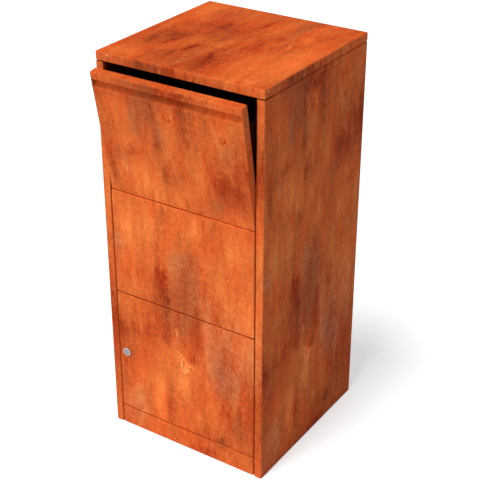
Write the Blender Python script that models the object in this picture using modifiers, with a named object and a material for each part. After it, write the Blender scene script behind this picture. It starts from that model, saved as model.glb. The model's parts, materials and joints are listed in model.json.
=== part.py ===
"""Free-standing parcel mailbox of folded steel sheet, with a tilting deposit flap, a door and a cam lock.

Z is up, the front faces -Y, and the origin is on the ground under the middle of the cabinet.
The flap and the pieces on it are drawn closed, and their parent empty tilts them to where they stand.
"""
import math

import bmesh
import bpy
from mathutils import Matrix, Vector

MM = 0.001

# Cabinet
WIDTH = 440 * MM
DEPTH = 440 * MM
HEIGHT = 996 * MM
SHEET = 1.5 * MM
FOLD_RADIUS = 2.5 * MM
STILE_WIDTH = 20 * MM
STILE_RETURN = 28 * MM
REAR_FLANGE = 25 * MM
BACK_RETURN = 15 * MM
LID_FASCIA = 20 * MM
LID_GAP = 3 * MM
LID_RAIL_DROP = 25 * MM
LID_RAIL_FLANGE = 20 * MM
FRONT_RAIL_DROP = 5 * MM
ANCHOR_RADIUS = 6 * MM
ANCHOR_X = 150 * MM
ANCHOR_Y = 130 * MM

# Fronts between the stiles
SIDE_GAP = 3 * MM
SEAM = 2 * MM
PLINTH_HEIGHT = 52.5 * MM
DOOR_HEIGHT = 336.5 * MM
MIDDLE_HEIGHT = 272.5 * MM
PAN_DEPTH = 20 * MM
RAIL_HEIGHT = 32 * MM
RAIL_DEPTH = 25 * MM

# Flap, its grip and the hopper behind it
FLAP_TILT = math.radians(10)
FLAP_TRAVEL = math.radians(40)
FLAP_PIVOT_HEIGHT = 12 * MM
LIP_HEIGHT = 17 * MM
POCKET_HEIGHT = 40 * MM
POCKET_RISE = 0.8
HOPPER_RADIUS = 245 * MM
HOPPER_SLOPE = math.radians(30)
SHELF_HEM = 10 * MM
STOP_BOLT_REACH = 150 * MM
STOP_BOLT_RADIUS = 4 * MM
STOP_BOLT_HEAD_RADIUS = 6.5 * MM
STOP_BOLT_LENGTH = 16 * MM

# Pivots: the flap's bolts and the door's pins stand this far behind the front face
PIVOT_SETBACK = 7 * MM
PIVOT_RADIUS = 3 * MM
PIVOT_HEAD_RADIUS = 4.5 * MM
PIVOT_HEAD_LENGTH = 3 * MM
PIVOT_NUT_FLATS = 10 * MM
PIVOT_NUT_LENGTH = 5 * MM
BOLT_TIP = 1 * MM
SPACER_RADIUS = 6 * MM
DOOR_PIN_INSET = 9 * MM
DOOR_PIN_TAIL = 5 * MM

# Rubber buffers that the flap and the door close against
BUFFER_HEIGHT = 24 * MM
FLAP_BUFFER_DROP = 70 * MM
DOOR_BUFFER_INSET = 60 * MM

# Cam lock in the door
LOCK_INSET = 44.5 * MM
LOCK_HEIGHT = 222.5 * MM
LOCK_RADIUS = 9.5 * MM
BEZEL_RADIUS = 11 * MM
BEZEL_THICKNESS = 2.2 * MM
BEZEL_CHAMFER = 0.8 * MM
PLUG_RADIUS = 6.5 * MM
PLUG_MOUTH = 0.9 * MM
KEYWAY_WIDTH = 1.4 * MM
KEYWAY_HEIGHT = 7 * MM
KEYWAY_DEPTH = 9 * MM
LOCK_NUT_FLATS = 24 * MM
LOCK_NUT_THICKNESS = 3.5 * MM
CAM_WIDTH = 16 * MM
CAM_THICKNESS = 2 * MM
CAM_OVERLAP = 8 * MM
TENON = 7 * MM
CAM_SCREW_RADIUS = 2 * MM
CAM_SCREW_HEAD_RADIUS = 5 * MM
CAM_SCREW_HEAD_LENGTH = 2.5 * MM
CAM_SCREW_DEPTH = 8 * MM

# Clearances, the length of a cut through one sheet, and the fineness of round work
SEAT = 0.3 * MM
RUNNING = 0.1 * MM
THROUGH = 4 * SHEET
FOLD_ANGLE = math.radians(20)
FOLD_SEGMENTS = 3
ROUND_STEPS = 32
CHEEK_STEPS = 16
MERGE_DISTANCE = 0.01 * MM

# Places worked out from the sizes above
FRONT = -DEPTH / 2
BACK = DEPTH / 2
BODY_TOP = HEIGHT - LID_FASCIA - LID_GAP
WALL_INSIDE = WIDTH / 2 - SHEET - SEAT
OPENING_HALF = WIDTH / 2 - STILE_WIDTH
PANEL_HALF = OPENING_HALF - SIDE_GAP
PAN_BACK = FRONT + PAN_DEPTH
RAIL_FRONT = PAN_BACK + SEAT
RAIL_BACK = RAIL_FRONT + RAIL_DEPTH
DOOR_BOTTOM = PLINTH_HEIGHT + SEAM
DOOR_TOP = DOOR_BOTTOM + DOOR_HEIGHT
MIDDLE_BOTTOM = DOOR_TOP + SEAM
MIDDLE_TOP = MIDDLE_BOTTOM + MIDDLE_HEIGHT
FLAP_BOTTOM = MIDDLE_TOP + SEAM
FLAP_TOP = BODY_TOP
SHELF_BEND = PAN_BACK + FOLD_RADIUS
PIVOT_Y = FRONT + PIVOT_SETBACK
FLAP_PIVOT_Z = FLAP_BOTTOM + FLAP_PIVOT_HEIGHT
FLOOR_FLANGE = PLINTH_HEIGHT - RAIL_HEIGHT - SEAT
CHEEK_OUTSIDE = PANEL_HALF - SHEET - SEAT
CHEEK_INSIDE = CHEEK_OUTSIDE - SHEET
DOOR_PIN_X = PANEL_HALF - DOOR_PIN_INSET
LOCK_X = -WIDTH / 2 + LOCK_INSET
CAM_FRONT = FRONT + STILE_RETURN + SEAT
CAM_BACK = CAM_FRONT + CAM_THICKNESS
PIVOT_HOLE = PIVOT_RADIUS + RUNNING

# Finishes: base colour, roughness, metallic
RUST = ((0.62, 0.17, 0.05), 0.85, 0.0)
DARK_STEEL = ((0.03, 0.025, 0.022), 0.6, 0.3)
ZINC = ((0.6, 0.6, 0.58), 0.35, 0.9)
RUBBER = ((0.02, 0.02, 0.02), 0.8, 0.0)
NYLON = ((0.03, 0.03, 0.03), 0.5, 0.0)

X_AXIS = Vector((1, 0, 0))
Y_AXIS = Vector((0, 1, 0))
Z_AXIS = Vector((0, 0, 1))


def clear_scene():
    for item in list(bpy.data.objects):
        bpy.data.objects.remove(item, do_unlink=True)


def new_collection(name):
    made = bpy.data.collections.new(name)
    bpy.context.scene.collection.children.link(made)
    return made


clear_scene()
PARTS = new_collection("parcel_mailbox")
CUTTERS = new_collection("cutters")


def new_material(name, finish):
    colour, roughness, metallic = finish
    material = bpy.data.materials.new(name)
    material.use_nodes = True
    shader = material.node_tree.nodes["Principled BSDF"]
    shader.inputs["Base Color"].default_value = (*colour, 1)
    shader.inputs["Roughness"].default_value = roughness
    shader.inputs["Metallic"].default_value = metallic
    material.diffuse_color = (*colour, 1)
    return material


def add_object(name, shape, place, finish, carrier=None):
    """Turn a bmesh into an object at a place, as a part with a finish or, without one, as a cutter."""
    mesh = bpy.data.meshes.new(name)
    shape.to_mesh(mesh)
    shape.free()
    made = bpy.data.objects.new(name, mesh)
    made.location = place
    if finish is None:
        CUTTERS.objects.link(made)
        made.hide_render = True
        made.display_type = "WIRE"
    else:
        PARTS.objects.link(made)
        mesh.materials.append(new_material(name, finish))
    if carrier is not None:
        made.parent = carrier
        made.location = Vector(place) - carrier.location
    return made


def add_axis(name, place, tilt=0.0):
    """An empty on a joint's axis, which carries the pieces that turn about it."""
    empty = bpy.data.objects.new(name, None)
    empty.location = place
    empty.rotation_euler = (tilt, 0, 0)
    PARTS.objects.link(empty)
    return empty


def box_shape(low, high):
    """A box about its own middle, and where that middle lies."""
    low, high = Vector(low), Vector(high)
    shape = bmesh.new()
    bmesh.ops.create_cube(shape, size=1)
    bmesh.ops.scale(shape, vec=high - low, verts=shape.verts)
    return shape, (low + high) / 2


def add_block(name, low, high, finish, carrier=None):
    shape, middle = box_shape(low, high)
    return add_object(name, shape, middle, finish, carrier)


def fold_and_thicken(item):
    """Round the folds of an open sheet and give it its thickness on the inner side."""
    fold = item.modifiers.new("folds", "BEVEL")
    fold.width = FOLD_RADIUS
    fold.segments = FOLD_SEGMENTS
    fold.limit_method = "ANGLE"
    fold.angle_limit = FOLD_ANGLE
    wall = item.modifiers.new("sheet", "SOLIDIFY")
    wall.thickness = SHEET
    wall.offset = -1
    wall.use_even_offset = True


def add_pan(name, low, high, open_side, finish, carrier=None):
    """A sheet folded into a tray that fills a box and is open on one side."""
    shape, middle = box_shape(low, high)
    shape.normal_update()
    opened = [face for face in shape.faces if face.normal.dot(open_side) > 0.5]
    bmesh.ops.delete(shape, geom=opened, context="FACES")
    pan = add_object(name, shape, middle, finish, carrier)
    fold_and_thicken(pan)
    return pan


def in_space(point, axis, along):
    """A profile's point in space: X is swept with (y, z), Y with (x, z) and Z with (x, y)."""
    first, second = point
    if axis is X_AXIS:
        return Vector((along, first, second))
    if axis is Y_AXIS:
        return Vector((first, along, second))
    return Vector((first, second, along))


def add_folded(name, path, axis, start, end, finish, carrier=None):
    """A folded strip along an axis, with its thickness on the left of the path.

    Left is as drawn on paper with the path's first coordinate to the right and its second one up.
    """
    middle = in_space(path[0], axis, start)
    shape = bmesh.new()
    corners = [shape.verts.new(in_space(point, axis, start) - middle) for point in path]
    folds = [shape.edges.new(pair) for pair in zip(corners, corners[1:])]
    swept = bmesh.ops.extrude_edge_only(shape, edges=folds)["geom"]
    moved = [item for item in swept if isinstance(item, bmesh.types.BMVert)]
    bmesh.ops.translate(shape, vec=axis * (end - start), verts=moved)
    shape.normal_update()
    first_run = corners[1].co - corners[0].co
    first_face = folds[0].link_faces[0]
    outward = first_run.cross(axis)
    if axis is Y_AXIS:
        outward = -outward
    if first_face.normal.dot(outward) < 0:
        bmesh.ops.reverse_faces(shape, faces=shape.faces)
    strip = add_object(name, shape, middle, finish, carrier)
    fold_and_thicken(strip)
    return strip


def add_outline(name, outline, axis, start, end, finish, carrier=None):
    """A flat plate or a solid bar: a closed outline swept along an axis."""
    middle = in_space(outline[0], axis, start)
    shape = bmesh.new()
    corners = [shape.verts.new(in_space(point, axis, start) - middle) for point in outline]
    face = shape.faces.new(corners)
    swept = bmesh.ops.extrude_face_region(shape, geom=[face])["geom"]
    moved = [item for item in swept if isinstance(item, bmesh.types.BMVert)]
    bmesh.ops.translate(shape, vec=axis * (end - start), verts=moved)
    bmesh.ops.recalc_face_normals(shape, faces=shape.faces)
    return add_object(name, shape, middle, finish, carrier)


def add_turned(name, profile, place, axis, finish, carrier=None):
    """A turned piece: (radius, height) points run down its outer side, and height counts along the axis."""
    closed = profile[0][0] > 0
    shape = bmesh.new()
    points = [shape.verts.new((radius, 0, height)) for radius, height in profile]
    for pair in zip(points, points[1:]):
        shape.edges.new(pair)
    if closed:
        shape.edges.new((points[-1], points[0]))
    made = add_object(name, shape, place, finish, carrier)
    made.rotation_euler = Z_AXIS.rotation_difference(Vector(axis)).to_euler()
    turn = made.modifiers.new("turn", "SCREW")
    turn.axis = "Z"
    turn.steps = ROUND_STEPS
    turn.render_steps = ROUND_STEPS
    turn.use_merge_vertices = True
    turn.merge_threshold = MERGE_DISTANCE
    return made


def add_hexagon(name, flats, length, place, axis, finish, carrier=None):
    """A hexagonal prism centred on a place: along X its flats face front and back, along Y up and down."""
    shape = bmesh.new()
    half_corner = math.pi / 6
    across = flats / math.cos(half_corner) / 2
    bmesh.ops.create_cone(
        shape, cap_ends=True, segments=6, radius1=across, radius2=across, depth=length)
    bmesh.ops.rotate(shape, matrix=Matrix.Rotation(half_corner, 3, "Z"), verts=shape.verts)
    made = add_object(name, shape, place, finish, carrier)
    made.rotation_euler = Z_AXIS.rotation_difference(Vector(axis)).to_euler()
    return made


def cut(target, cutter):
    step = target.modifiers.new(cutter.name, "BOOLEAN")
    step.operation = "DIFFERENCE"
    step.solver = "EXACT"
    step.object = cutter


def drill(target, radius, centre, axis, length):
    """Cut a round hole through a piece, centred on a place."""
    shape = bmesh.new()
    bmesh.ops.create_cone(
        shape, cap_ends=True, segments=ROUND_STEPS, radius1=radius, radius2=radius, depth=length)
    name = f"{target.name}_hole_{len(target.modifiers)}"
    cutter = add_object(name, shape, centre, None, target.parent)
    cutter.rotation_euler = Z_AXIS.rotation_difference(Vector(axis)).to_euler()
    cut(target, cutter)


def build_side(name, hand):
    """Rear flange, wall, front stile and the stile's return, folded from one sheet."""
    wall = hand * WIDTH / 2
    inner = hand * OPENING_HALF
    path = [
        (wall - hand * REAR_FLANGE, BACK),
        (wall, BACK),
        (wall, FRONT),
        (inner, FRONT),
        (inner, FRONT + STILE_RETURN),
    ]
    if hand > 0:
        path.reverse()
    side = add_folded(name, path, Z_AXIS, 0, BODY_TOP, RUST)
    drill(side, PIVOT_HOLE, (inner, PIVOT_Y, FLAP_PIVOT_Z), X_AXIS, THROUGH)


def build_back():
    half = WIDTH / 2 - SHEET - FOLD_RADIUS
    outside = BACK - SHEET - SEAT
    inside = outside - BACK_RETURN
    path = [(half, inside), (half, outside), (-half, outside), (-half, inside)]
    add_folded("back_panel", path, Z_AXIS, FLOOR_FLANGE + SEAT, BODY_TOP, RUST)


def build_floor():
    """Base sheet on the ground behind the stiles' returns, with four upturned flanges."""
    low = (-WALL_INSIDE, FRONT + STILE_RETURN + SEAT, 0)
    high = (WALL_INSIDE, BACK - SHEET - SEAT, FLOOR_FLANGE)
    tray = add_pan("floor_tray", low, high, Z_AXIS, RUST)
    for side_x in (-ANCHOR_X, ANCHOR_X):
        for side_y in (-ANCHOR_Y, ANCHOR_Y):
            drill(tray, ANCHOR_RADIUS, (side_x, side_y, 0), Z_AXIS, THROUGH)


def build_lid():
    """Cap lid, and the four angles under it that leave the shadow gap over the cabinet."""
    low = (-WIDTH / 2, FRONT, HEIGHT - LID_FASCIA)
    high = (WIDTH / 2, BACK, HEIGHT)
    add_pan("lid", low, high, -Z_AXIS, RUST)
    top = HEIGHT - SHEET - SEAT
    foot = BODY_TOP - LID_RAIL_DROP
    flange_edge = WALL_INSIDE - LID_RAIL_FLANGE
    rail_start = RAIL_FRONT + LID_RAIL_FLANGE + SEAT
    for name, hand in (("lid_rail_left", -1), ("lid_rail_right", 1)):
        path = [(hand * WALL_INSIDE, foot), (hand * WALL_INSIDE, top), (hand * flange_edge, top)]
        if hand < 0:
            path.reverse()
        add_folded(name, path, Y_AXIS, rail_start, BACK - SHEET - FOLD_RADIUS, RUST)
    half = flange_edge - SEAT
    back_web = BACK - 2 * (SHEET + SEAT)
    path = [(back_web, foot), (back_web, top), (back_web - LID_RAIL_FLANGE, top)]
    add_folded("lid_rail_back", path, X_AXIS, -half, half, RUST)
    lip = BODY_TOP - FRONT_RAIL_DROP
    path = [(RAIL_FRONT + LID_RAIL_FLANGE, top), (RAIL_FRONT, top), (RAIL_FRONT, lip)]
    add_folded("lid_rail_front", path, X_AXIS, -half, half, RUST)


def shelf_underside(y):
    """Height of the closed hopper shelf's underside at a depth behind the pans."""
    return FLAP_BOTTOM + SHEET + SEAT - (y - SHELF_BEND) * math.tan(HOPPER_SLOPE)


def build_fixed_fronts():
    """Plinth and middle panels, and the cross rails that they sit against."""
    fronts = (("plinth_panel", 0, PLINTH_HEIGHT), ("middle_panel", MIDDLE_BOTTOM, MIDDLE_TOP))
    for name, bottom, top in fronts:
        add_pan(name, (-PANEL_HALF, FRONT, bottom), (PANEL_HALF, PAN_BACK, top), Y_AXIS, RUST)
    below_shelf = shelf_underside(RAIL_BACK) - SEAM
    rails = (
        ("rail_lower", PLINTH_HEIGHT - RAIL_HEIGHT),
        ("rail_middle", MIDDLE_BOTTOM),
        ("rail_upper", min(below_shelf, MIDDLE_TOP) - RAIL_HEIGHT),
    )
    half = OPENING_HALF - SEAT
    for name, bottom in rails:
        add_pan(name, (-half, RAIL_FRONT, bottom), (half, RAIL_BACK, bottom + RAIL_HEIGHT), Y_AXIS, RUST)


def build_buffers():
    """Rubber blocks on the stiles' returns, behind the edges of the flap's and the door's pans."""
    upper_door = DOOR_TOP - DOOR_BUFFER_INSET
    lower_door = DOOR_BOTTOM + DOOR_BUFFER_INSET
    flap = FLAP_TOP - FLAP_BUFFER_DROP
    blocks = (
        ("flap_buffer_left", -1, flap),
        ("flap_buffer_right", 1, flap),
        ("door_buffer_upper", -1, upper_door),
        ("door_buffer_lower", -1, lower_door),
    )
    near, far = sorted((CHEEK_OUTSIDE + 2 * SEAT, OPENING_HALF - SEAT))
    for name, hand, middle in blocks:
        xs = sorted((hand * near, hand * far))
        low = (xs[0], RAIL_FRONT, middle - BUFFER_HEIGHT / 2)
        high = (xs[1], FRONT + STILE_RETURN, middle + BUFFER_HEIGHT / 2)
        add_block(name, low, high, RUBBER)


def build_flap_pivots():
    """Bolts through the flap's ends into nuts behind the stiles' returns, with black spacers between."""
    for name, hand in (("left", -1), ("right", 1)):
        outward = hand * X_AXIS
        head_end = CHEEK_INSIDE - SEAT - PIVOT_HEAD_LENGTH
        head_face = PIVOT_HEAD_LENGTH
        nut_start = OPENING_HALF + SHEET + SEAT
        tip = nut_start + PIVOT_NUT_LENGTH + BOLT_TIP - head_end
        place = (hand * head_end, PIVOT_Y, FLAP_PIVOT_Z)
        bolt = [(0, tip), (PIVOT_RADIUS, tip), (PIVOT_RADIUS, head_face),
                (PIVOT_HEAD_RADIUS, head_face), (PIVOT_HEAD_RADIUS, 0), (0, 0)]
        add_turned(f"flap_bolt_{name}", bolt, place, outward, ZINC)
        nut_place = (hand * (nut_start + PIVOT_NUT_LENGTH / 2), PIVOT_Y, FLAP_PIVOT_Z)
        nut = add_hexagon(f"flap_nut_{name}", PIVOT_NUT_FLATS, PIVOT_NUT_LENGTH, nut_place, X_AXIS, ZINC)
        drill(nut, PIVOT_HOLE, nut_place, X_AXIS, 2 * PIVOT_NUT_LENGTH)
        near = PANEL_HALF + SEAT - head_end
        far = OPENING_HALF - SEAT - head_end
        spacer = [(SPACER_RADIUS, far), (SPACER_RADIUS, near), (PIVOT_HOLE, near), (PIVOT_HOLE, far)]
        add_turned(f"flap_spacer_{name}", spacer, place, outward, NYLON)


def build_flap(axis):
    """The flap's pan: its face folds inward under the grip lip and rises behind it."""
    low = (-PANEL_HALF, FRONT, FLAP_BOTTOM)
    high = (PANEL_HALF, PAN_BACK, FLAP_TOP)
    shape, middle = box_shape(low, high)
    shape.normal_update()
    rear = [face for face in shape.faces if face.normal.y > 0.5][0]
    outer_folds = [edge for edge in shape.edges if edge not in rear.edges[:]]
    bmesh.ops.bevel(shape, geom=outer_folds, offset=FOLD_RADIUS, segments=FOLD_SEGMENTS,
                    profile=0.5, affect="EDGES", material=-1)
    flap = add_object("flap_panel", shape, middle, RUST, axis)

    face_inside = FRONT + SHEET
    pocket_back = PAN_BACK - SHEET
    pocket_foot = FLAP_TOP - POCKET_HEIGHT
    half = PANEL_HALF - SHEET

    def slope(y):
        return pocket_foot + (y - FRONT) * POCKET_RISE

    under_slope = SHEET * math.hypot(1, POCKET_RISE)
    beyond = PAN_BACK + SHEET
    hollow = [
        (face_inside, FLAP_BOTTOM + SHEET),
        (beyond, FLAP_BOTTOM + SHEET),
        (beyond, slope(beyond) - under_slope),
        (face_inside, slope(face_inside) - under_slope),
    ]
    cut(flap, add_outline("flap_hollow", hollow, X_AXIS, -half, half, None, axis))
    ahead = FRONT - SHEET
    pocket = [
        (ahead, slope(ahead)),
        (pocket_back, slope(pocket_back)),
        (pocket_back, FLAP_TOP - SHEET),
        (face_inside, FLAP_TOP - SHEET),
        (face_inside, FLAP_TOP - LIP_HEIGHT),
        (ahead, FLAP_TOP - LIP_HEIGHT),
    ]
    cut(flap, add_outline("flap_pocket", pocket, X_AXIS, -half, half, None, axis))
    for hand in (-1, 1):
        drill(flap, PIVOT_HOLE, (hand * PANEL_HALF, PIVOT_Y, FLAP_PIVOT_Z), X_AXIS, THROUGH)


def build_hopper(axis):
    """Trough behind the flap: two cheeks and a sloping shelf that shuts off the inside when it is open."""
    pivot = Vector((PIVOT_Y, FLAP_PIVOT_Z))
    front_edge = FRONT + FOLD_RADIUS + SEAT
    foot_edge = FLAP_BOTTOM + FOLD_RADIUS + SEAT
    bend = Vector((SHELF_BEND, FLAP_BOTTOM + SHEET + SEAT))
    down = Vector((math.cos(HOPPER_SLOPE), -math.sin(HOPPER_SLOPE)))
    start = bend - pivot
    along = -start.dot(down)
    run = along + math.sqrt(along * along - start.length_squared + HOPPER_RADIUS * HOPPER_RADIUS)
    shelf_end = bend + down * run

    front_angle = math.asin((front_edge - PIVOT_Y) / HOPPER_RADIUS)
    end_offset = shelf_end - pivot
    end_angle = math.atan2(end_offset.x, end_offset.y)
    arc = []
    for step in range(CHEEK_STEPS + 1):
        angle = front_angle + (end_angle - front_angle) * step / CHEEK_STEPS
        arc.append((pivot.x + HOPPER_RADIUS * math.sin(angle), pivot.y + HOPPER_RADIUS * math.cos(angle)))
    outline = [(front_edge, foot_edge)] + arc + [(PAN_BACK, foot_edge)]

    stop_gap = FRONT + STILE_RETURN + STOP_BOLT_RADIUS + SEAT - PIVOT_Y
    stop_angle = math.asin(stop_gap / STOP_BOLT_REACH) + FLAP_TRAVEL
    stop_y = PIVOT_Y + STOP_BOLT_REACH * math.sin(stop_angle)
    stop_z = FLAP_PIVOT_Z + STOP_BOLT_REACH * math.cos(stop_angle)
    for name, hand in (("left", -1), ("right", 1)):
        start_x, end_x = sorted((hand * CHEEK_INSIDE, hand * CHEEK_OUTSIDE))
        cheek = add_outline(f"hopper_cheek_{name}", outline, X_AXIS, start_x, end_x, DARK_STEEL, axis)
        drill(cheek, PIVOT_HOLE, (hand * CHEEK_OUTSIDE, PIVOT_Y, FLAP_PIVOT_Z), X_AXIS, THROUGH)
        stop_place = (hand * CHEEK_OUTSIDE, stop_y, stop_z)
        drill(cheek, STOP_BOLT_RADIUS + RUNNING, stop_place, X_AXIS, THROUGH)
        head_end = CHEEK_INSIDE - SEAT - PIVOT_HEAD_LENGTH
        tip = PIVOT_HEAD_LENGTH + SHEET + STOP_BOLT_LENGTH
        bolt = [(0, tip), (STOP_BOLT_RADIUS, tip), (STOP_BOLT_RADIUS, PIVOT_HEAD_LENGTH),
                (STOP_BOLT_HEAD_RADIUS, PIVOT_HEAD_LENGTH), (STOP_BOLT_HEAD_RADIUS, 0), (0, 0)]
        add_turned(f"stop_bolt_{name}", bolt, (hand * head_end, stop_y, stop_z), hand * X_AXIS, ZINC, axis)

    hem = shelf_end + Vector((-down.y, down.x)) * -SHELF_HEM
    path = [(front_edge, bend.y), tuple(bend), tuple(shelf_end), tuple(hem)]
    half = CHEEK_INSIDE - SEAT
    add_folded("hopper_shelf", path, X_AXIS, -half, half, DARK_STEEL, axis)


def build_door(axis):
    """Door pan, its pins, and the washers in the seams that it turns on."""
    low = (-PANEL_HALF, FRONT, DOOR_BOTTOM)
    high = (PANEL_HALF, PAN_BACK, DOOR_TOP)
    door = add_pan("door_panel", low, high, Y_AXIS, RUST, axis)
    drill(door, LOCK_RADIUS + RUNNING, (LOCK_X, FRONT, LOCK_HEIGHT), Y_AXIS, THROUGH)
    ends = (("top", 1, DOOR_TOP, "middle_panel"), ("bottom", -1, DOOR_BOTTOM, "plinth_panel"))
    for name, upward, edge, neighbour in ends:
        out = upward * Z_AXIS
        place = Vector((DOOR_PIN_X, PIVOT_Y, edge))
        head_face = -SHEET - SEAT
        head_end = head_face - PIVOT_HEAD_LENGTH
        tip = SEAM + SHEET + DOOR_PIN_TAIL
        pin = [(0, tip), (PIVOT_RADIUS, tip), (PIVOT_RADIUS, head_face),
               (PIVOT_HEAD_RADIUS, head_face), (PIVOT_HEAD_RADIUS, head_end), (0, head_end)]
        add_turned(f"door_pin_{name}", pin, place, out, ZINC, axis)
        upper, lower = SEAM - SEAT, SEAT
        washer = [(SPACER_RADIUS, upper), (SPACER_RADIUS, lower), (PIVOT_HOLE, lower), (PIVOT_HOLE, upper)]
        add_turned(f"door_washer_{name}", washer, place, out, NYLON)
        drill(door, PIVOT_HOLE, place, Z_AXIS, THROUGH)
        drill(bpy.data.objects[neighbour], PIVOT_HOLE, place + out * SEAM, Z_AXIS, THROUGH)


def build_lock_body(door_axis):
    """Bezel and threaded barrel in one, and the nut that clamps them to the door's face."""
    face = FRONT - SEAT
    place = (LOCK_X, face, LOCK_HEIGHT)
    front = BEZEL_THICKNESS
    rear = -(CAM_FRONT - face - SHEET)
    bore = PLUG_RADIUS + RUNNING
    mouth = PLUG_RADIUS + PLUG_MOUTH
    barrel = [
        (mouth, front), (BEZEL_RADIUS - BEZEL_CHAMFER, front), (BEZEL_RADIUS, front - BEZEL_CHAMFER),
        (BEZEL_RADIUS, 0), (LOCK_RADIUS, 0), (LOCK_RADIUS, rear), (bore, rear), (bore, front - PLUG_MOUTH),
    ]
    add_turned("lock_housing", barrel, place, -Y_AXIS, ZINC, door_axis)
    nut_y = FRONT + SHEET + SEAT + LOCK_NUT_THICKNESS / 2
    nut_place = (LOCK_X, nut_y, LOCK_HEIGHT)
    nut = add_hexagon("lock_nut", LOCK_NUT_FLATS, LOCK_NUT_THICKNESS, nut_place, Y_AXIS, ZINC, door_axis)
    drill(nut, LOCK_RADIUS + RUNNING, nut_place, Y_AXIS, 2 * LOCK_NUT_THICKNESS)


def build_lock_core(lock_axis):
    """Plug with its keyway and square tenon, the cam on the tenon, and the cam's screw."""
    face = FRONT - SEAT
    front = BEZEL_THICKNESS - PLUG_MOUTH / 2
    shoulder = -(CAM_FRONT - SEAT - face)
    tenon_end = -(CAM_BACK - face)
    plug = [(0, front), (PLUG_RADIUS, front), (PLUG_RADIUS, shoulder), (0, shoulder)]
    place = Vector((LOCK_X, face, LOCK_HEIGHT))
    core = add_turned("lock_plug", plug, place, -Y_AXIS, ZINC, lock_axis)
    half = TENON / 2
    low = (LOCK_X - half, CAM_FRONT - SEAT - PLUG_RADIUS, LOCK_HEIGHT - half)
    high = (LOCK_X + half, face - tenon_end, LOCK_HEIGHT + half)
    tenon = add_block("plug_tenon", low, high, None, lock_axis)
    join = core.modifiers.new("tenon", "BOOLEAN")
    join.operation = "UNION"
    join.solver = "EXACT"
    join.object = tenon
    key_low = (LOCK_X - KEYWAY_WIDTH / 2, face - 2 * BEZEL_THICKNESS, LOCK_HEIGHT - KEYWAY_HEIGHT / 2)
    key_high = (LOCK_X + KEYWAY_WIDTH / 2, face - front + KEYWAY_DEPTH, LOCK_HEIGHT + KEYWAY_HEIGHT / 2)
    cut(core, add_block("keyway", key_low, key_high, None, lock_axis))
    thread = CAM_SCREW_RADIUS + RUNNING
    drill(core, thread, (LOCK_X, CAM_BACK, LOCK_HEIGHT), Y_AXIS, 2 * CAM_SCREW_DEPTH)

    reach = LOCK_X + OPENING_HALF + CAM_OVERLAP
    side = CAM_WIDTH / 2
    low = (LOCK_X - side, CAM_FRONT, LOCK_HEIGHT - reach)
    high = (LOCK_X + side, CAM_BACK, LOCK_HEIGHT + side)
    cam = add_block("lock_cam", low, high, ZINC, lock_axis)
    hole = half + RUNNING
    low = (LOCK_X - hole, CAM_FRONT - CAM_THICKNESS, LOCK_HEIGHT - hole)
    high = (LOCK_X + hole, CAM_BACK + CAM_THICKNESS, LOCK_HEIGHT + hole)
    cut(cam, add_block("cam_hole", low, high, None, lock_axis))

    head_face = CAM_BACK + SEAT
    screw = [(0, CAM_SCREW_HEAD_LENGTH), (CAM_SCREW_HEAD_RADIUS, CAM_SCREW_HEAD_LENGTH),
             (CAM_SCREW_HEAD_RADIUS, 0), (CAM_SCREW_RADIUS, 0),
             (CAM_SCREW_RADIUS, -CAM_SCREW_DEPTH + SHEET), (0, -CAM_SCREW_DEPTH + SHEET)]
    add_turned("cam_screw", screw, (LOCK_X, head_face, LOCK_HEIGHT), Y_AXIS, ZINC, lock_axis)


def build():
    build_side("side_left", -1)
    build_side("side_right", 1)
    build_back()
    build_floor()
    build_lid()
    build_fixed_fronts()
    build_buffers()
    build_flap_pivots()
    flap_axis = add_axis("flap_axis", (0, PIVOT_Y, FLAP_PIVOT_Z), FLAP_TILT)
    build_flap(flap_axis)
    build_hopper(flap_axis)
    door_axis = add_axis("door_axis", (DOOR_PIN_X, PIVOT_Y, DOOR_BOTTOM))
    build_door(door_axis)
    build_lock_body(door_axis)
    lock_axis = add_axis("lock_axis", (LOCK_X, FRONT, LOCK_HEIGHT))
    build_lock_core(lock_axis)


build()
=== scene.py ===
"""Looks of the rusted steel parcel mailbox: its rust, lock and fasteners, with floor, light and camera."""
import json
import math

import bmesh
import bpy
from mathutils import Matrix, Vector


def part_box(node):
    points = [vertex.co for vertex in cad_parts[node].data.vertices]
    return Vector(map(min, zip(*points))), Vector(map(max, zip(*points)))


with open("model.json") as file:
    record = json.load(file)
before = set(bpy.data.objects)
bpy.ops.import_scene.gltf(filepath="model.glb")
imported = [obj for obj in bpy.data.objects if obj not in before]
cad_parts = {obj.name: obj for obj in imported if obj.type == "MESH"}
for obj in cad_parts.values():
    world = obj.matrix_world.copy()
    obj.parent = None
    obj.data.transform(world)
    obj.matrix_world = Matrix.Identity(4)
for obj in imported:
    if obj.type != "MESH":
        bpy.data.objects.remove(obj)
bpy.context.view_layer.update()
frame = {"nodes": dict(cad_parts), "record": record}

MM = 0.001
WHITE = (1, 1, 1, 1)

# Places read from the frame
SIDE_LOW, SIDE_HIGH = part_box("side_right")
PANEL_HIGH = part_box("middle_panel")[1]
BODY_TOP = SIDE_HIGH.z
FRONT = SIDE_LOW.y
PANEL_EDGE = PANEL_HIGH.x
PANEL_BACK = PANEL_HIGH.y
JOINTS = {joint["name"]: joint for joint in frame["record"]["behaviour"]["joints"]}
FLAP_HINGE = JOINTS["flap_tilt"]
LOCK_HINGE = JOINTS["lock_turn"]

# The photograph's viewpoint: metres, degrees, and the lens and its sensor in mm
CAMERA_PLACE = (1.38985, -2.08777, 1.85053)
CAMERA_AZIMUTH = 33.3708
CAMERA_ELEVATION = 28.4759
CAMERA_LENS = 87.7233
CAMERA_SENSOR = 36

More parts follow.
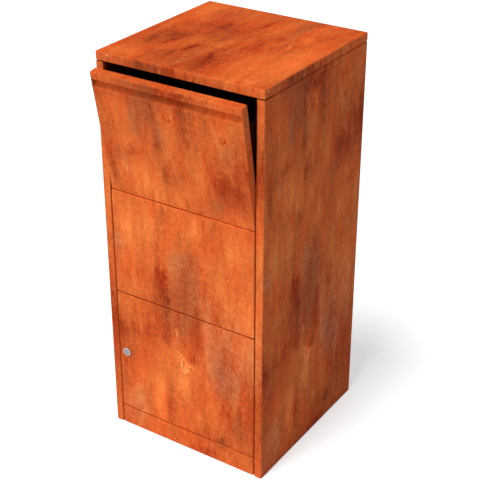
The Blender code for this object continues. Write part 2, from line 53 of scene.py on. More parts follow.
# Light: a high broad key from the front left, a low fill from the front, and a white sky
KEY_AZIMUTH = -15
KEY_ELEVATION = 68.5
KEY_STRENGTH = 2.25
KEY_ANGLE = 22
FILL_AZIMUTH = -10
FILL_ELEVATION = 8
FILL_STRENGTH = 1.09
FILL_ANGLE = 20
SKY_STRENGTH = 0.24

# The floor takes the shadow, and its glow brings the rest of it to white
FLOOR_RADIUS = 12
FLOOR_SIDES = 64
FLOOR_COLOUR = (0.74, 0.8, 0.81)
FLOOR_GLOW = 0.5
FLOOR_DROP = 0.5 * MM

# A face looks along an axis when its normal's part that way, squared if both ways count, is over this
FACING = 0.5
# A wall looks into the box when its place times its normal is below the first, and not when above the second
LOOKS_IN = -0.12
LOOKS_OUT = -0.08
# At rest, only the flap stands out further than this from the front
FLAP_STANDS_OUT = 1 * MM

# The finger pocket under the grip lip, with heights as on the closed flap: its depth, the heights between
# which its painted shade and painted light lie, and how far they stay clear of the flap's ends
POCKET_DEPTH = 9 * MM
POCKET_MARKS_FOOT = 908 * MM
POCKET_MARKS_HEAD = 956.5 * MM
POCKET_MARGIN = 1 * MM
# Painted shade below the lip grows from that foot up to this height and share
SHADE_RAMP_TOP = 938 * MM
SHADE_RAMP_SHARE = 0.5
# Painted light low in the pocket gives way to painted shade between these heights
LIGHT_GIVES_WAY = (934 * MM, 956 * MM)
# The painted shade thins out to this share between these places, towards the right
POCKET_SHADE_THINS = (20 * MM, 170 * MM)
THIN_SHARE = 0.35

# Level seams between the fronts: painted shade reaches this far from a seam's middle, and is this strong in
# each
SEAM_SHADE_REACH = 1.7 * MM
SHADED_SEAMS = (("plinth_panel", "door_panel", 0.4), ("door_panel", "middle_panel", 0.9))
# Upright seams beside the fronts: their width, how far in the painted light on their walls begins, and the
# depths between which it fades
SEAM_WIDTH = 4 * MM
LIGHT_BEGINS = 0.4 * MM
LIGHT_FADES = (4 * MM, 12 * MM)

# How far from the lock's axis its core, its groove and its face end, each fading into the next
CORE_FADES = (5 * MM, 6.2 * MM)
GROOVE_FADES = (7.4 * MM, 8.4 * MM)
FACE_FADES = (10.4 * MM, 11 * MM)


def linear(red, green, blue):
    """A screen colour of 0 to 255 as the linear colour that shaders take."""
    steps = []
    for level in (red, green, blue):
        level = level / 255
        steps.append(level / 12.92 if level <= 0.04045 else ((level + 0.055) / 1.055) ** 2.4)
    return (*steps, 1)


# Rust colours, from the darkest to the driest, with their places on the scale of tones
UMBER = linear(158, 62, 27)
BRICK = linear(188, 80, 36)
TERRACOTTA = linear(212, 98, 46)
ORANGE = linear(230, 113, 54)
FLAME = linear(250, 134, 66)
RUST_TONES = ((0.15, UMBER), (0.34, BRICK), (0.48, TERRACOTTA), (0.62, ORANGE), (0.82, FLAME))
# Painted shade, for the level seams and the finger pocket
PAINTED_SHADE = linear(96, 32, 13)
CHIP = linear(255, 236, 222)
# Darker rust inside the box and under the lid: partly the unweathered inside's own oxide, partly painted
# shade
INSIDE_OXIDE_AND_SHADE = linear(92, 42, 25)
# Painted light: a bright rust on the upright seams' walls, which lie in shade
SEAM_PAINTED_LIGHT = linear(216, 106, 46)

# What the marks do to the rust's red, green and blue
RED_STAIN = (0.72, 0.40, 0.33)
DARK_STAIN = (0.54, 0.46, 0.52)
GREY_BLOOM = (0.79, 1.0, 1.40)
DUST = (0.94, 1.17, 1.65)
PALE_CRUST = (1.4, 2.0, 2.2)
# Painted light, brightening the lower finger pocket against the grip lip's shadow
POCKET_PAINTED_LIGHT = (1.32, 1.28, 1.22)
REDDER = (1.0, 0.86, 0.82)
YELLOWER = (1.0, 1.12, 1.12)
# Painted light: level faces tinted redder to offset the sky's reflection on the lid
LEVEL_SHEEN_OFFSET = (1.02, 0.89, 0.78)
# Painted sheen: sideways faces tinted bluer and paler, as a white grazing reflection would
SIDE_PAINTED_SHEEN = (0.96, 1.0, 1.2)

# The rust's noise fields: waves in a metre across and up, layer, detail and roughness
FIELDS = {
    "swell": (11, 2.5, 3.3, 3, 0.5),
    "drift": (32, 6, 8.2, 6, 0.65),
    "hue": (22, 8, 5.1, 5, 0.6),
    "strand": (140, 22, 2.4, 5, 0.65),
    "mottle": (120, 95, 4.4, 6, 0.7),
    "grain": (420, 400, 6.6, 3, 0.6),
    "wander": (26, 7, 1.7, 4, 0.6),
}
# How much of each field is in the tone, in the marks' frayed edges, in how they wander, and in the relief
TONE = {"drift": 0.5, "strand": 0.32, "mottle": 0.55, "grain": 0.44, "swell": 0.22}
FRAY = {"mottle": 1.6, "strand": 1.6, "drift": 0.8, "grain": 0.6}
WANDER_ACROSS = {"wander": 0.04, "mottle": 0.02}
WANDER_UP = {"drift": 0.1, "mottle": 0.03}
RELIEF = {"mottle": 0.7, "grain": 0.3, "strand": 0.2}

# The tone that no field or mark has moved, and how far bright and dull marks move it
MIDDLE_TONE = 0.5
BRIGHT_LIFT = 0.25
DULL_DROP = 0.22
# The hue field starts to turn the colour this far before its middle, and has turned it this far past it
HUE_STARTS = 0.02
HUE_TURNED = 0.12

# Pale specks are grain with a share of mottle, and show between these levels. They show fully on dust, and in
# these shares on grey marks and anywhere.
SPECK_MOTTLE = 0.7
SPECK_LEVELS = (0.16, 0.28)
SPECKS_ON_GREY = 0.4
SPECKS_ANYWHERE = 0.06
# Pits are mottle with a share of grain, and show between these levels. Pitted marks widen them.
PIT_GRAIN = 0.6
PIT_LEVELS = (-0.26, -0.18)
PITTED_PULL = 0.11

# How strongly specks, pits, the painted shade in seams and pocket, and the dark inside (oxide and painted
# shade) show
SPECKS_SHOW = 0.5
PITS_SHOW = 0.6
SEAM_SHADE_SHOWS = 0.6
POCKET_SHADE_SHOWS = 0.32
INSIDE_OXIDE_AND_SHADE_SHOWS = 0.7

# Colours of the other finishes
PRIMER = linear(40, 14, 9)
PRIMER_DUST = linear(54, 25, 17)
PLATING = linear(180, 176, 172)
PALE_PLATING = linear(206, 202, 198)
# Painted shade in the lock's groove, and at its rim's edge
LOCK_CORE = linear(146, 146, 150)
LOCK_GROOVE_SHADE = linear(70, 60, 56)
LOCK_RIM_SHADE = linear(120, 82, 62)
ZINC = linear(160, 160, 156)
PALE_ZINC = linear(204, 203, 198)
ZINC_STAIN = linear(150, 96, 60)
RUBBER = linear(24, 24, 25)
RUBBER_DUST = linear(58, 50, 46)
NYLON = linear(40, 36, 34)
PALE_NYLON = linear(54, 44, 38)

# Chips down to bare metal on the lid, with place and radius in metres
CHIPS = (
    ((-0.1866, -0.2200, 0.9910), 0.0016), ((-0.1887, -0.1576, 0.9960), 0.0017),
    ((0.2200, -0.2053, 0.9894), 0.0016), ((-0.1815, -0.2200, 0.9885), 0.0009),
)
# A chip fades between these shares of its radius
CHIP_EDGE = (0.6, 1.2)

# The same weather marks show on the front and, a little further along, on the sides
SIDE_SHIFT = 18 * MM
# Marks on the lid go by their depth plus this, in mm, which keeps them far above the marks on the walls
TOP_SHIFT = 1350
# A mark is gone this many half sizes from its middle, and can be ragged where this much of it is left
MARK_FADE = 1.6
MARK_RAGGED = 0.25

# Weather marks: the middle and half size of each across and up, in mm, and its strength
BRIGHT_MARKS = (
    ((-150, 590), (34, 60), 0.6), ((-98, 620), (22, 50), 0.5), ((40, 625), (16, 44), 0.8),
    ((150, 590), (40, 60), 0.5), ((178, 440), (20, 70), 0.7), ((-150, 500), (40, 40), 0.2),
    ((60, 535), (16, 40), 0.6), ((110, 480), (30, 50), 0.5), ((150, 345), (30, 60), 0.4),
    ((-75, 130), (20, 66), 0.9), ((-125, 165), (30, 50), 0.5), ((-150, 85), (34, 50), 0.4),
    ((0, 190), (22, 44), 1.0), ((40, 102), (13, 32), 0.6), ((-95, 725), (48, 46), 1.0),
    ((-120, 812), (34, 24), 0.7), ((-70, 690), (50, 26), 0.4), ((65, 765), (12, 44), 0.7),
    ((3, 830), (16, 70), 0.6), ((-155, 890), (26, 44), 0.5), ((-115, 880), (20, 50), 0.6),
    ((-146, 725), (12, 50), 0.7), ((45, 735), (16, 24), 0.4), ((30, 700), (44, 30), 0.5),
    ((165, 685), (40, 16), 0.4), ((215, 620), (40, 60), 0.25), ((215, 450), (30, 60), 0.4),
    ((200, 935), (30, 30), 0.15), ((185, TOP_SHIFT - 30), (40, 110), 1.0),
    ((150, TOP_SHIFT - 140), (60, 60), 0.6), ((-195, TOP_SHIFT + 150), (34, 60), 0.7),
    ((-140, TOP_SHIFT + 195), (40, 26), 0.7), ((-100, TOP_SHIFT + 190), (30, 30), 0.3),
    ((135, TOP_SHIFT + 85), (24, 34), 0.8), ((122, TOP_SHIFT + 150), (20, 50), 0.5),
    ((40, TOP_SHIFT + 125), (16, 60), 0.6), ((185, TOP_SHIFT + 160), (30, 50), 0.4),
    ((155, TOP_SHIFT - 200), (40, 20), 0.6), ((-112, TOP_SHIFT - 112), (9, 16), 0.4),
    ((-14, TOP_SHIFT - 130), (8, 60), 0.3), ((-200, TOP_SHIFT - 190), (24, 24), 0.6),
    ((110, TOP_SHIFT - 60), (30, 60), 0.4), ((85, TOP_SHIFT - 140), (20, 40), 0.4),
    ((-150, TOP_SHIFT - 180), (40, 24), 0.3), ((2, TOP_SHIFT - 30), (12, 40), 0.4),
    ((0, 790), (170, 110), 0.12),
)
DULL_MARKS = (
    ((-80, 450), (24, 90), 0.4), ((-100, 360), (60, 60), 0.4), ((-125, 300), (60, 40), 0.4),
    ((2, 440), (50, 96), 0.7), ((10, 350), (44, 60), 0.6), ((-52, 420), (28, 90), 0.6),
    ((36, 370), (16, 50), 0.5), ((38, 320), (14, 40), 0.6), ((-186, 300), (22, 60), 0.6),
    ((-182, 205), (16, 60), 0.5), ((-178, 140), (10, 50), 0.4), ((-44, 120), (13, 70), 0.5),
    ((58, 80), (36, 44), 0.5), ((150, 130), (40, 60), 0.7), ((130, 205), (20, 40), 0.4),
    ((105, 60), (34, 34), 0.5), ((55, 15), (50, 20), 0.6), ((110, 190), (30, 24), 0.3),
    ((-130, 610), (10, 24), 0.3), ((-60, 600), (18, 26), 0.4), ((-8, 590), (14, 40), 0.6),
    ((-55, 653), (18, 24), 0.6), ((75, 640), (20, 30), 0.2), ((205, 210), (30, 80), 0.5),
    ((215, 90), (36, 70), 0.3), ((-75, 900), (30, 50), 0.3), ((-48, 890), (12, 60), 0.4),
    ((-38, 820), (14, 40), 0.6), ((45, 880), (20, 60), 0.5), ((64, 845), (8, 40), 0.4),
    ((90, 895), (30, 20), 0.3), ((15, 955), (60, 20), 0.7), ((-60, 950), (30, 30), 0.5),
    ((-180, 780), (14, 60), 0.3), ((-180, 850), (12, 40), 0.4), ((-176, 720), (10, 40), 0.4),
    ((145, 750), (54, 46), 0.65), ((105, 770), (18, 60), 0.5), ((185, 790), (24, 50), 0.3),
    ((130, 830), (20, 30), 0.5), ((10, 765), (40, 50), 0.15), ((-28, 742), (10, 30), 0.4),
    ((78, 700), (16, 30), 0.4), ((220, 810), (44, 90), 0.7), ((110, 710), (20, 20), 0.3),
    ((-85, 400), (20, 30), 0.3), ((36, 930), (24, 40), 0.5), ((-212, 320), (14, 90), 0.7),
    ((-212, 200), (10, 60), 0.6), ((-60, 986), (84, 26), 0.8), ((-60, TOP_SHIFT + 58), (56, 44), 0.7),
    ((-135, TOP_SHIFT - 30), (44, 52), 0.8), ((-160, TOP_SHIFT - 92), (34, 44), 0.6),
    ((-150, TOP_SHIFT - 70), (30, 30), 0.4), ((-57, TOP_SHIFT - 80), (18, 50), 0.7),
    ((-85, TOP_SHIFT - 130), (40, 40), 0.7), ((-62, TOP_SHIFT), (28, 22), 0.7),
    ((-40, TOP_SHIFT + 110), (16, 50), 0.5), ((-150, TOP_SHIFT + 50), (30, 40), 0.4),
    ((22, TOP_SHIFT - 140), (42, 90), 0.8), ((70, TOP_SHIFT - 20), (50, 50), 0.3),
    ((2, TOP_SHIFT + 140), (12, 60), 0.4), ((85, TOP_SHIFT + 70), (20, 26), 0.4),
    ((-75, TOP_SHIFT - 170), (30, 50), 0.6), ((-24, TOP_SHIFT + 5), (14, 26), 0.6),
    ((95, TOP_SHIFT + 165), (20, 50), 0.2), ((-190, TOP_SHIFT - 50), (22, 60), 0.4),
    ((-200, TOP_SHIFT - 130), (16, 40), 0.3), ((-45, TOP_SHIFT - 150), (20, 40), 0.5),
    ((-36, TOP_SHIFT - 75), (10, 60), 0.5), ((105, 285), (46, 70), 0.25), ((195, 160), (46, 110), 0.4),
    ((104, 258), (9, 38), 0.45), ((90, 206), (9, 16), 0.3),
)
RED_MARKS = (
    ((-66, 474), (28, 38), 1.0), ((-56, 425), (22, 40), 0.9), ((-48, 370), (18, 50), 0.4),
    ((-76, 540), (8, 30), 0.5), ((36, 385), (10, 40), 0.35), ((36, 325), (10, 34), 0.35),
    ((-135, 300), (44, 22), 0.5), ((-192, 290), (16, 50), 0.7), ((120, 155), (30, 24), 0.5),
    ((75, 75), (20, 20), 0.4), ((50, 14), (44, 16), 0.6), ((-44, 110), (10, 60), 0.3),
    ((25, 275), (12, 14), 0.5), ((-178, 770), (10, 40), 0.4), ((-116, 778), (13, 20), 0.5),
    ((-45, 812), (12, 20), 0.4), ((-26, 742), (10, 26), 0.5), ((148, 748), (46, 36), 0.65),
    ((105, 785), (12, 40), 0.6), ((142, 880), (9, 7), 0.8), ((190, 780), (16, 30), 0.2),
    ((226, 790), (34, 70), 0.7), ((20, 905), (6, 30), 0.4), ((65, 850), (8, 30), 0.3),
    ((0, 892), (13, 6), 0.6), ((20, 955), (44, 18), 0.6), ((-85, 520), (8, 40), 0.3),
    ((-212, 320), (14, 80), 0.8), ((-8, 986), (30, 24), 0.6), ((40, 930), (20, 40), 0.4),
    ((140, 940), (30, 16), 0.4), ((-57, TOP_SHIFT - 76), (14, 40), 1.0),
    ((18, TOP_SHIFT - 160), (16, 30), 0.6), ((22, TOP_SHIFT - 105), (30, 50), 0.4),
    ((75, TOP_SHIFT - 20), (40, 40), 0.4), ((2, TOP_SHIFT + 135), (9, 50), 0.5),
    ((85, TOP_SHIFT + 72), (16, 20), 0.4), ((190, TOP_SHIFT + 160), (36, 60), 0.5),
    ((-60, TOP_SHIFT + 100), (50, 40), 0.3), ((-130, TOP_SHIFT + 60), (30, 30), 0.4),
    ((-78, TOP_SHIFT - 130), (14, 30), 0.4), ((-130, TOP_SHIFT - 60), (30, 40), 0.3),
    ((8, 958), (20, 20), 0.5),
)
DARK_MARKS = (
    ((-50, 432), (14, 26), 0.6), ((-50, 365), (15, 70), 0.6), ((-49, 315), (13, 28), 0.6),
    ((36, 385), (10, 40), 0.1), ((28, 278), (14, 15), 0.6), ((-194, 290), (12, 40), 0.3),
    ((165, 120), (20, 50), 0.3), ((105, 58), (16, 18), 0.7), ((-46, 905), (12, 50), 0.3),
    ((46, 860), (9, 40), 0.5), ((-28, 742), (8, 20), 0.3), ((-176, 722), (8, 26), 0.4),
    ((10, 960), (40, 14), 0.5), ((212, 850), (14, 60), 0.5), ((-15, 437), (7, 6), 0.6),
    ((-180, 210), (8, 40), 0.3), ((-160, 212), (6, 12), 0.5), ((-62, TOP_SHIFT + 54), (46, 28), 0.5),
    ((-30, TOP_SHIFT + 64), (16, 34), 0.3), ((-138, TOP_SHIFT - 30), (26, 32), 0.6),
    ((-160, TOP_SHIFT - 94), (20, 34), 0.5), ((-125, TOP_SHIFT - 75), (10, 24), 0.4),
    ((-57, TOP_SHIFT - 76), (10, 30), 0.8), ((22, TOP_SHIFT - 120), (26, 60), 0.5),
    ((24, TOP_SHIFT - 190), (20, 30), 0.4), ((-28, TOP_SHIFT - 5), (8, 24), 0.6),
    ((4, TOP_SHIFT + 120), (7, 20), 0.2), ((88, TOP_SHIFT + 66), (10, 24), 0.3),
    ((-78, TOP_SHIFT - 145), (10, 30), 0.5), ((142, 881), (8, 5), 0.7), ((-98, 980), (24, 14), 0.3),
    ((-66, 472), (12, 24), 0.4), ((-26, 936), (18, 12), 0.5),
)
GREY_MARKS = (
    ((0, 538), (44, 28), 0.8), ((10, 480), (46, 60), 0.9), ((5, 405), (44, 50), 0.8),
    ((-8, 350), (30, 30), 0.7), ((46, 540), (12, 16), 0.5), ((-110, 80), (12, 60), 0.3),
    ((75, 430), (14, 60), 0.4), ((105, 58), (16, 16), 0.6), ((155, 140), (20, 50), 0.4),
    ((-98, 872), (13, 26), 1.0), ((-95, 838), (14, 14), 1.0), ((-62, 890), (16, 24), 0.7),
    ((-34, 845), (13, 32), 1.0), ((40, 915), (14, 20), 0.9), ((108, 702), (20, 12), 0.7),
    ((122, 722), (12, 14), 0.6), ((-152, 782), (7, 24), 1.0), ((-50, 655), (14, 16), 0.3),
    ((155, 850), (20, 26), 0.7), ((-60, 940), (40, 40), 0.5), ((-75, 905), (40, 50), 0.6),
    ((104, 262), (24, 56), 0.7), ((-45, 390), (18, 60), 0.6), ((-160, 212), (12, 16), 0.5),
    ((-212, 200), (8, 50), 0.6), ((-48, 957), (20, 18), 0.8), ((-108, 986), (24, 20), 0.8),
    ((-24, TOP_SHIFT - 110), (10, 70), 0.6), ((-28, TOP_SHIFT - 185), (16, 36), 1.0),
    ((-108, TOP_SHIFT - 160), (12, 40), 0.5), ((-85, TOP_SHIFT + 5), (16, 12), 0.4),
    ((-25, TOP_SHIFT), (10, 20), 0.6), ((95, TOP_SHIFT + 160), (16, 56), 0.9),
    ((-115, TOP_SHIFT + 150), (20, 56), 0.5), ((-60, TOP_SHIFT + 50), (40, 24), 0.3),
    ((5, TOP_SHIFT + 195), (12, 16), 0.5), ((50, TOP_SHIFT + 195), (16, 12), 0.4),
    ((-105, TOP_SHIFT - 40), (8, 20), 0.4), ((-170, TOP_SHIFT - 90), (16, 26), 0.6),
    ((-60, TOP_SHIFT - 150), (30, 30), 0.3), ((-90, 860), (20, 50), 0.5), ((-62, 990), (16, 20), 0.6),
    ((-110, 957), (22, 18), 0.7), ((112, 214), (20, 26), 0.6), ((138, 236), (20, 40), 0.5),
)
DUSTY_MARKS = (
    ((80, 330), (30, 90), 0.8), ((95, 250), (44, 50), 0.9), ((135, 325), (40, 90), 0.8),
    ((150, 265), (30, 40), 0.6), ((160, 400), (34, 80), 0.3), ((-180, 530), (20, 30), 1.0),
    ((-138, 740), (12, 30), 0.8), ((-150, 90), (38, 60), 0.9), ((-12, 314), (14, 14), 0.6),
    ((-165, 35), (34, 44), 0.7), ((0, 235), (20, 20), 0.4), ((90, 460), (20, 60), 0.4),
    ((200, 330), (50, 90), 0.6), ((90, TOP_SHIFT + 130), (14, 60), 0.3),
)
CRUST_MARKS = (
    ((6, 256), (22, 12), 1.0), ((4, 240), (14, 12), 0.8), ((-14, 270), (13, 15), 0.8),
    ((-18, 337), (8, 8), 1.0), ((-15, 308), (8, 12), 0.4), ((10, 232), (13, 9), 0.7),
    ((8, 905), (9, 30), 0.4), ((28, 798), (5, 5), 0.7), ((-48, 748), (5, 4), 0.6),
    ((-142, 740), (7, 16), 0.6), ((-6, 860), (14, 30), 0.3), ((28, 288), (6, 4), 0.4),
    ((90, TOP_SHIFT + 8), (9, 5), 0.7), ((122, TOP_SHIFT + 32), (8, 18), 0.45),
    ((-25, TOP_SHIFT - 170), (8, 24), 0.6), ((87, TOP_SHIFT + 176), (7, 12), 0.6),
    ((-48, TOP_SHIFT - 20), (9, 20), 0.3), ((-48, 984), (12, 10), 0.6), ((-9, 957), (14, 9), 0.6),
)
PITTED_MARKS = (
    ((-80, 402), (34, 16), 1.0), ((-62, 600), (24, 24), 0.8), ((-4, 590), (14, 34), 0.8),
    ((-14, 440), (18, 16), 1.0), ((10, 430), (36, 36), 0.8), ((0, 885), (22, 24), 0.8),
    ((132, 352), (10, 8), 0.8), ((142, 880), (14, 12), 0.8), ((-130, 605), (12, 24), 0.6),
    ((0, 262), (26, 30), 0.8), ((30, 330), (24, 60), 0.7), ((-190, 290), (20, 50), 0.6),
    ((-60, 486), (14, 20), 0.6), ((-60, TOP_SHIFT - 20), (30, 40), 0.6),
    ((20, TOP_SHIFT - 190), (40, 30), 0.6), ((90, TOP_SHIFT + 20), (30, 40), 0.5),
)


class Wire:
    """A node's output socket. Arithmetic on wires adds Math nodes to their graph."""

    def __init__(self, graph, socket):
        self.graph = graph
        self.socket = socket

    def math(self, operation, first, second):
        return self.graph.node("ShaderNodeMath", {"operation": operation}, {0: first, 1: second})

    def __add__(self, other):
        return self.math("ADD", self, other)

    __radd__ = __add__

    def __sub__(self, other):
        return self.math("SUBTRACT", self, other)

    def __rsub__(self, other):
        return self.math("SUBTRACT", other, self)

    def __mul__(self, other):
        return self.math("MULTIPLY", self, other)

    __rmul__ = __mul__

    def __gt__(self, other):
        return self.math("GREATER_THAN", self, other)

    def __lt__(self, other):
        return self.math("LESS_THAN", self, other)

    def most(self, other):
        return self.math("MAXIMUM", self, other)


class Graph:
    """The nodes of one material or world."""

    def __init__(self, tree):
        self.tree = tree
        tree.nodes.clear()

    def node(self, kind, settings=None, inputs=None, output=0):
        """Add a node with settings, then each socket's value or link. Returns an output, if it has one."""
        made = self.tree.nodes.new(kind)
        for name, value in (settings or {}).items():
            if name == "stops":
                self.set_stops(made.color_ramp, value)
            else:
                setattr(made, name, value)
        for key, value in (inputs or {}).items():
            if isinstance(value, Wire):
                self.tree.links.new(value.socket, made.inputs[key])
            else:
                made.inputs[key].default_value = value
        return Wire(self, made.outputs[output]) if len(made.outputs) else None

    def set_stops(self, ramp, stops):
        while len(ramp.elements) < len(stops):
            ramp.elements.new(0.5)
        for element, (place, colour) in zip(ramp.elements, stops):
            element.position = place
            element.color = colour

    def place(self):
        """Where a point is at rest, in metres, whatever pose its piece is in."""
        return self.node("ShaderNodeTexCoord", output="Object")

    def combine(self, x, y, z):
        return self.node("ShaderNodeCombineXYZ", None, {"X": x, "Y": y, "Z": z})

    def split(self, vector):
        made = self.node("ShaderNodeSeparateXYZ", None, {"Vector": vector}).socket.node
        return [Wire(self, socket) for socket in made.outputs]

    def length(self, vector):
        return self.node("ShaderNodeVectorMath", {"operation": "LENGTH"}, {0: vector}, 1)

    def noise(self, vector, scale, detail=4, rough=0.5):
        return self.node("ShaderNodeTexNoise", {"noise_dimensions": "3D"},
                         {"Vector": vector, "Scale": scale, "Detail": detail, "Roughness": rough})

    def smooth(self, value, low, high, first=0.0, last=1.0):
        """A soft step from first to last as a value goes from low to high.

        It ends at both by itself. With clamps as well, so many marks would overflow the shader's memory.
        """
        return self.node("ShaderNodeMapRange", {"interpolation_type": "SMOOTHSTEP", "clamp": False},
                         {"Value": value, "From Min": low, "From Max": high, "To Min": first, "To Max": last})

    def mix(self, factor, first, second):
        """Mix two colours, which go into sockets 6 and 7 of the node."""
        return self.node("ShaderNodeMix", {"data_type": "RGBA"}, {0: factor, 6: first, 7: second}, 2)

    def tint(self, factor, colour, gain):
        """Multiply a colour's red, green and blue by a gain for each, as far as the factor says."""
        settings = {"data_type": "RGBA", "blend_type": "MULTIPLY"}
        return self.node("ShaderNodeMix", settings, {0: factor, 6: colour, 7: (*gain, 1)}, 2)

    def choose(self, factor, first, second):
        return first + (second - first) * factor

    def principled(self, colour, roughness, metallic=0.0, height=None, bump_depth=0.0, specular=0.5):
        inputs = {"Base Color": colour, "Roughness": roughness, "Metallic": metallic,
                  "Specular IOR Level": specular}
        if height is not None:
            inputs["Normal"] = self.node("ShaderNodeBump", None, {"Height": height, "Distance": bump_depth})
        surface = self.node("ShaderNodeBsdfPrincipled", None, inputs)
        self.node("ShaderNodeOutputMaterial", None, {"Surface": surface})


def new_material(name):
    material = bpy.data.materials.new(name)
    material.use_nodes = True
    return material, Graph(material.node_tree)


class Face:
    """Where a point lies on the folded sheet: across and up in metres, and which way the sheet looks there.

    Streaks run up the walls, and from back to front on top.
    """

    def __init__(self, graph):
        self.place = graph.place()
        normal = graph.node("ShaderNodeTexCoord", output="Normal")
        x, y, z = graph.split(self.place)
        nx, ny, nz = graph.split(normal)
        self.sideways = (nx * nx) > FACING
        self.level = (nz * nz) > FACING
        self.across = graph.choose(self.sideways, x, y + SIDE_SHIFT)
        self.up = graph.choose(self.level, z, y + TOP_SHIFT * MM)
        # The upright seams' walls near the front, which get painted light
        seam_wall_light = self.sideways * graph.smooth(y, FRONT + LIGHT_FADES[0], FRONT + LIGHT_FADES[1], 1, 0)
        self.seam_wall_light = seam_wall_light * (y > FRONT + LIGHT_BEGINS) * (x * x < (PANEL_EDGE + SEAM_WIDTH) ** 2)
        looks_in = graph.smooth(x * nx + y * ny, LOOKS_IN, LOOKS_OUT, 1, 0)
        looks_in = looks_in * (y > FRONT - FLAP_STANDS_OUT) * (1 - self.seam_wall_light)
        # Faces looking down under the lid: painted shade
        under_lid = (nz * -1 > FACING) * (z > BODY_TOP)
        self.inside = looks_in.most(under_lid)


def seam_painted_shade(graph, place):
    """Painted shade along the level seams between the fronts."""
    x, y, z = graph.split(place)
    seams = None
    for lower, upper, strength in SHADED_SEAMS:
        middle = (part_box(lower)[1].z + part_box(upper)[0].z) / 2
        height = graph.node("ShaderNodeMath", {"operation": "ABSOLUTE"}, {0: z - middle})
        near = graph.smooth(height, SEAM_SHADE_REACH / 2, SEAM_SHADE_REACH, strength, 0)
        seams = near if seams is None else seams.most(near)
    between_stiles = (x * x < PANEL_EDGE ** 2) * (y < PANEL_BACK)
    return seams * between_stiles


def closed_flap_place(y, z):
    """How far behind the front and how high a point of the resting flap is when the flap is closed."""
    tilt = math.radians(FLAP_HINGE["range_deg"][0])
    hinge = Vector(FLAP_HINGE["pos_m"])
    behind_hinge = y - hinge.y
    over_hinge = z - hinge.z
    depth = behind_hinge * math.cos(tilt) - over_hinge * math.sin(tilt) + (hinge.y - FRONT)
    height = over_hinge * math.cos(tilt) + behind_hinge * math.sin(tilt) + hinge.z
    return depth, height


def pocket_shade_and_light(graph, place):
    """Painted shade close under the grip lip, and painted light lower in the pocket against the lip's shadow.
    """
    x, y, z = graph.split(place)
    depth, height = closed_flap_place(y, z)
    sunk = graph.smooth(depth, 0, POCKET_DEPTH)
    shade_below_lip = graph.smooth(height, POCKET_MARKS_FOOT, SHADE_RAMP_TOP, 0, SHADE_RAMP_SHARE)
    under_lip = (height > POCKET_MARKS_FOOT) * (height < POCKET_MARKS_HEAD)
    between_ends = x * x < (PANEL_EDGE - POCKET_MARGIN) ** 2
    along = graph.smooth(x, *POCKET_SHADE_THINS, 1, THIN_SHARE)
    pocket = under_lip * between_ends * (y < FRONT - FLAP_STANDS_OUT)
    high_up = graph.smooth(height, *LIGHT_GIVES_WAY)
    pocket_shade = (sunk * high_up).most(shade_below_lip) * pocket * along
    pocket_light = sunk * (1 - high_up) * pocket
    return pocket_shade, pocket_light


def chip_marks(graph, place):
    """Small chips where the rust has come off."""
    bare = None
    for centre, radius in CHIPS:
        distance = graph.node("ShaderNodeVectorMath", {"operation": "DISTANCE"}, {0: place, 1: centre}, 1)
        outside = graph.smooth(distance, radius * CHIP_EDGE[0], radius * CHIP_EDGE[1])
        bare = outside if bare is None else bare * outside
    return 1 - bare


